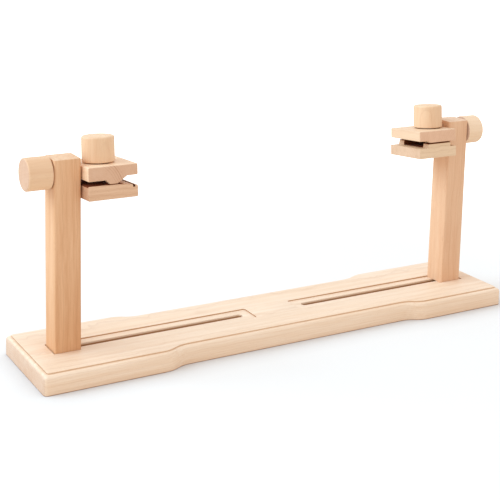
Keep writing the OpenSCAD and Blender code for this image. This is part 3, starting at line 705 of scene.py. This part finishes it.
def make_side(side):
    out, x0, tilt, rise, gap, inset, knob_length, low_jaw, taper, upper_rib, lower_rib = SIDES[side].values()

    def name(part):
        return side + "_" + part

    def wood(part, **more):
        """The beech of one of this side's pieces."""
        shared, left, right = WOODS[part]
        return beech(name(part + " beech"), **shared, **(left if side == "left" else right), **more)

    def spot(u, y, z):
        """A point beside the post: u is outwards from the post's middle."""
        return Vector((x0 + out * u, y, z))

    lean = Matrix.Translation((x0, 0, PIVOT)) @ Matrix.Rotation(math.radians(tilt), 4, "X")

    def clamp_spot(u, y, z):
        """A point in the tilted clamp: z is above the pivot."""
        return lean @ Vector((out * u, y, z))

    def scaled(matrix):
        """The same placing for a mesh in metres."""
        moved = matrix.copy()
        moved.translation = moved.translation * MM
        return moved

    # Post
    half, soft = POST / 2, POST_EDGE
    corner = []
    for cx, cy, start in ((1, 1, 0), (-1, 1, 90), (-1, -1, 180), (1, -1, 270)):
        corner += arc((cx * (half - soft), cy * (half - soft)), soft, start, start + 90, 5)
    low = PLANK_THICKNESS - CHANNEL_DEPTH
    rings = []
    for shrink, z in ((0.3, low), (0.0, low + 0.3), (0.0, POST_TOP - 0.6), (0.05, POST_TOP - 0.35),
                      (0.18, POST_TOP - 0.16), (0.37, POST_TOP - 0.04), (0.6, POST_TOP)):
        k = (half - shrink) / half
        rings.append([(x0 + x * k, y * k, z) for x, y in corner])
    post = loft(name("post_body"), rings)
    join(post, "DIFFERENCE",
        rod("bore", STUD + PLAY, spot(-20, 0, PIVOT), spot(20, 0, PIVOT)),
        rod("foot bore", BOLT + INSERT_WALL, spot(0, 0, 0), spot(0, 0, low + INSERT_LENGTH)))
    dress(post, name("support"), wood("post"), name("post"))

    # Jaws: flat side profiles as deep as the jaw, with ribs along the front and back
    face = -(half + SPACER)
    tip = face - JAW_LENGTH
    bolt_u = face - inset
    under = rise - UPPER_JAW
    roof = under - upper_rib - lower_rib - gap
    floor = roof - low_jaw
    deep = JAW_DEPTH / 2

    def bar(label, profile, y0, y1):
        """A side profile, drawn out from y0 to y1 and leaned with the clamp."""
        verts, count = [], len(profile)
        for y in (y0, y1):
            verts += [tuple(clamp_spot(u, y, z)) for u, z in profile]
        faces = [list(range(count)), [count + k for k in range(count)][::-1]]
        faces += [[k, (k + 1) % count, count + (k + 1) % count, count + k] for k in range(count)]
        return solid(label, verts, faces)

    def bolt_rod(label, radius, low, high):
        """A round cutter on the clamp bolt's axis, between two heights above the pivot."""
        return rod(label, radius, clamp_spot(bolt_u, 0, low), clamp_spot(bolt_u, 0, high))

    def jaw(label, body, rib):
        made = bar(name(label), body, -deep, deep)
        if rib:
            front = bar("front rib", rib, -deep, RIB_WIDTH - deep)
            back = bar("back rib", rib, deep - RIB_WIDTH, deep)
            join(made, "UNION", front, back)
        return ease(made, JAW_EASE, 4, 50)

    inner = tip + MOUTH + MOUTH_SLOPE
    lip = under + MOUTH_DEPTH
    body = [(face, under), (face, rise), (tip, rise), (tip, lip), (tip + MOUTH, lip), (inner, under)]
    start, low = face - UPPER_RIB_START, under - upper_rib
    rib = [(start, under), (start, under + 1), (inner, under + 1), (inner, under),
           (inner + upper_rib * MOUTH_SLOPE / MOUTH_DEPTH, low), (start - UPPER_RIB_SLOPE, low)]
    upper = jaw("upper_jaw_body", body, upper_rib and rib)
    join(upper, "DIFFERENCE",
        bolt_rod("bolt hole", BOLT + PLAY, under - CLEAR, rise + CLEAR),
        rod("stud hole", STUD, clamp_spot(face - STUD_DEPTH, 0, 0), clamp_spot(face + CLEAR, 0, 0)))

    body = [(face, floor), (face, roof), (tip + TAPER_LENGTH, roof), (tip, roof - taper), (tip, floor)]
    start, stop, high = face - LOWER_RIB_START, face - LOWER_RIB_END, roof + lower_rib
    rib = [(start, roof - 1), (start, high), (stop + LOWER_RIB_SLOPE, high), (stop, roof), (stop, roof - 1)]
    lower = jaw("lower_jaw_body", body, lower_rib and rib)
    holes = [bolt_rod("bolt hole", BOLT, floor - CLEAR, roof + CLEAR),
             bolt_rod("head recess", RECESS_RADIUS, floor - CLEAR, floor + RECESS_DEPTH)]
    if taper:
        grip = [(tip + GRIP_INSET + u, roof - taper + z) for u, z in (
            (0, 2), (0, -GRIP_DEPTH), (GRIP_WIDTH, -GRIP_DEPTH), (GRIP_WIDTH, 2))]
        holes.append(bar("grip", grip, -JAW_DEPTH, JAW_DEPTH))
    join(lower, "DIFFERENCE", *holes)

    def within(u0, u1, y0, y1, z0, z1, amount):
        """A box of painted shade between the jaws, its heights above the pivot."""
        up = PIVOT * math.cos(math.radians(tilt))
        across = PIVOT * math.sin(math.radians(tilt))
        x1, x2 = sorted((x0 + out * u0, x0 + out * u1))
        return (x1, y0 + across, z0 + up), (x2, y1 + across, z1 + up), amount, 0.5

    # Painted shade: dark boxes on the jaws' faces in the gap between them, along the ribs and in the grip
    # groove
    if upper_rib:
        groove, edge = tip + GRIP_INSET, roof - taper
        lower_jaw_painted_shade = [within(face - 19, face + 2, 1.4 - deep, deep, roof - 0.6, roof + 3, 3.0),
                 within(face - 33, face - 17, 0.8 - deep, deep, roof - 0.4, roof + 3, 3.0),
                 within(groove, groove + GRIP_WIDTH, 1.2 - deep, deep + 1, edge - 2, edge - 0.1, 3.6)]
        upper_jaw_painted_shade = [within(face - 33, face - 17, -deep - 1, deep + 1, roof - 1, roof + gap + 0.1, 2.0)]
    else:
        lower_jaw_painted_shade = [within(face - 34, face - 7, RIB_WIDTH - deep, deep - RIB_WIDTH, roof - 1, high + 1, 3.0),
                 within(face - 34, face - 6, -deep - 1, deep + 1, high - 0.2, high + 1, 3.0),
                 within(face - 6.5, face + 1, 4.0 - deep, deep, roof - 0.5, high, 1.2)]
        upper_jaw_painted_shade = [within(face - 34, face - 6, -deep - 1, deep + 1, under - 0.3, under + 0.15, 2.5)]
    dress(upper, name("clamp"), wood("upper jaw", tilt=tilt, shade=upper_jaw_painted_shade), name("upper_jaw"))
    dress(lower, name("jaw_carriage"), wood("lower jaw", tilt=tilt, shade=lower_jaw_painted_shade), name("lower_jaw"))

    # Knobs
    def knob(part, body, finish, length, stand, bore, reach):
        sizes = {"Radius": KNOB_RADIUS * MM, "Length": length * MM, "Rim": KNOB_RIM * MM,
                 "Foot": KNOB_FOOT * MM, "Crown": KNOB_DOME * MM, "Rows": 160, "Sides": 73}
        made = knob_recipe(finish).make(name(part + "_body"), sizes, scaled(stand))
        below = stand @ Vector((0, 0, -2))
        join(made, "DIFFERENCE",
            rod("insert bore", bore + INSERT_WALL, below, stand @ Vector((0, 0, INSERT_LENGTH))),
            rod("bore", bore + PLAY, below, stand @ Vector((0, 0, reach))))
        dress(made, name(body), finish, name(part))

    sideways = Matrix.Rotation(out * math.pi / 2, 4, "Y")
    on_jaw = lean @ Matrix.Translation((out * bolt_u, 0, rise + WASHER))
    on_post = Matrix.Translation(spot(half + KNOB_GAP, 0, PIVOT)) @ sideways
    knob("top_knob", "closing_knob", wood("top knob"), TOP_KNOB, on_jaw, BOLT, TOP_BORE)
    knob("side_knob", "tilt_knob", wood("side knob"), knob_length, on_post, STUD, SIDE_BORE)

    # Threaded hardware
    def threaded(label, radius, pitch, length, plain, stand):
        sizes = {"Radius": radius * MM, "Depth": pitch * 0.6 * MM, "Pitch": pitch * MM, "Length": length * MM,
                 "Plain": plain * MM, "Rows": int((length / pitch) * 8) + 3, "Sides": 25}
        return THREAD.make(label, sizes, scaled(stand))

    def turned(label, profile, stand, sides=48, start=0.0):
        """A head or collar: radii and heights, from the bottom up."""
        rings = []
        for radius, z in profile:
            rings.append([tuple(stand @ Vector((radius * math.cos(t), radius * math.sin(t), z))) for t in
                          (start + 2 * math.pi * k / sides for k in range(sides))])
        return loft(label, rings)

    stand = lean @ Matrix.Translation((out * bolt_u, 0, floor + RECESS_DEPTH))
    bolt = threaded(name("clamp_bolt_thread"), BOLT, BOLT_PITCH, BOLT_LENGTH, BOLT_PLAIN, stand)
    head = turned("head", [(3.4, -3.3), (5.2, -3.0), (6.3, -2.2), (6.75, -1.1), (6.75, 0.0)], stand)
    neck = turned("neck", [(BOLT * math.sqrt(2), -0.4), (BOLT * math.sqrt(2), 3.4)], stand, 4, math.pi / 4)
    dress(attach(bolt, head, neck), name("jaw_carriage"), ZINC, name("clamp_bolt"))
    stand = lean @ Matrix.Translation((out * (face - STUD_DEPTH), 0, 0)) @ sideways
    stud = threaded(name("pivot_stud_thread"), STUD, STUD_PITCH, STUD_LENGTH, 0, stand)
    dress(stud, name("clamp"), ZINC, name("pivot_stud"))
    stand = Matrix.Translation(spot(0, 0, FOOT_BOLT_SEAT))
    bolt = threaded(name("foot_bolt_thread"), BOLT, BOLT_PITCH, FOOT_BOLT_LENGTH, 0, stand)
    wide = FOOT_BOLT_FLATS / 2 / math.cos(math.pi / 6)
    head = turned("head", [(wide * 0.86, -4.0), (wide, -3.5), (wide, -0.3), (wide * 0.96, 0.0)], stand, 6)
    dress(attach(bolt, head), name("support"), ZINC, name("foot_bolt"))

    # The plain rings keep their CAD shape
    for finish, parts in ((ZINC, ("foot_washer", "side_knob_washer", "jaw_spacer", "top_knob_washer")),
                          (BRASS, ("foot_insert", "side_knob_insert", "top_knob_insert"))):
        for part in parts:
            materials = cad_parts[name(part)].data.materials
            materials.clear()
            materials.append(finish)


for side in SIDES:
    make_side(side)


# Floor, backdrop and light: an even white room with a large cool window to the left

AMBIENT = (0.98, 0.967, 0.96)
BOUNCE = (230, 219, 208)


def make_stage():
    f = Finish("white paper")
    place = f.node("ShaderNodeTexCoord")["Object"]
    tooth = f.noise(place, 400.0, 3.0)["Fac"]
    colour = f.mix(tooth * 0.5, linear(240, 239, 237), linear(236, 235, 233))
    # Painted contact shadow: the paper is darkened towards blue-grey where ambient occlusion finds the stand
    # close by
    contact_shade_ao = f.node("ShaderNodeAmbientOcclusion", {"samples": 12}, {"Distance": 0.03})["AO"]
    colour = f.mix((1.0 - contact_shade_ao) * 0.5, colour, (0.25, 0.28, 0.34, 1.0))
    paper = f.node("ShaderNodeBsdfDiffuse", {}, {"Color": colour})[0]
    x, y, z = f.split(place)
    far = (x * x + y * y).math("SQRT").between(0.3, 0.9)
    lift = f.node("ShaderNodeEmission", {}, {"Color": (1, 1, 1, 1), "Strength": far})[0]
    seen = f.node("ShaderNodeAddShader", {}, {0: paper, 1: lift})[0]
    bounce = f.node("ShaderNodeBsdfDiffuse", {}, {"Color": linear(*BOUNCE)})[0]
    camera = f.node("ShaderNodeLightPath")["Is Camera Ray"]
    material = f.surface(f.node("ShaderNodeMixShader", {}, {0: camera, 1: bounce, 2: seen})[0])
    mesh = bpy.data.meshes.new("floor")
    mesh.from_pydata([(-4, -4, 0), (4, -4, 0), (4, 4, 0), (-4, 4, 0)], [], [(0, 1, 2, 3)])
    floor = bpy.data.objects.new("floor", mesh)
    mesh.materials.append(material)
    bpy.context.scene.collection.objects.link(floor)

    world = bpy.data.worlds.new("studio")
    bpy.context.scene.world = world
    world.use_nodes = True
    tree = world.node_tree
    tree.nodes.clear()
    path = tree.nodes.new("ShaderNodeLightPath")
    tint = tree.nodes.new("ShaderNodeMix")
    tint.data_type = "RGBA"
    sockets = {socket.identifier: socket for socket in tint.inputs}
    sockets["A_Color"].default_value = (*AMBIENT, 1)
    sockets["B_Color"].default_value = (1, 1, 1, 1)
    tree.links.new(path.outputs["Is Camera Ray"], sockets["Factor_Float"])
    sky = tree.nodes.new("ShaderNodeBackground")
    mixed = next(socket for socket in tint.outputs if socket.identifier == "Result_Color")
    tree.links.new(mixed, sky.inputs["Color"])
    output = tree.nodes.new("ShaderNodeOutputWorld")
    tree.links.new(sky.outputs[0], output.inputs["Surface"])


def make_lamp(name, place, target, size, power, colour):
    data = bpy.data.lights.new(name, "AREA")
    data.shape, data.size, data.energy, data.color = "DISK", size, power, colour
    lamp = bpy.data.objects.new(name, data)
    bpy.context.scene.collection.objects.link(lamp)
    lamp.location = place
    lamp.rotation_euler = (Vector(target) - Vector(place)).to_track_quat("-Z", "Y").to_euler()


make_stage()
make_lamp("window", (-3.2, 1.0, 2.3), (0, 0, 0.08), 3.2, 108, (0.63, 0.83, 1.0))
bpy.context.scene.view_settings.view_transform = "Standard"
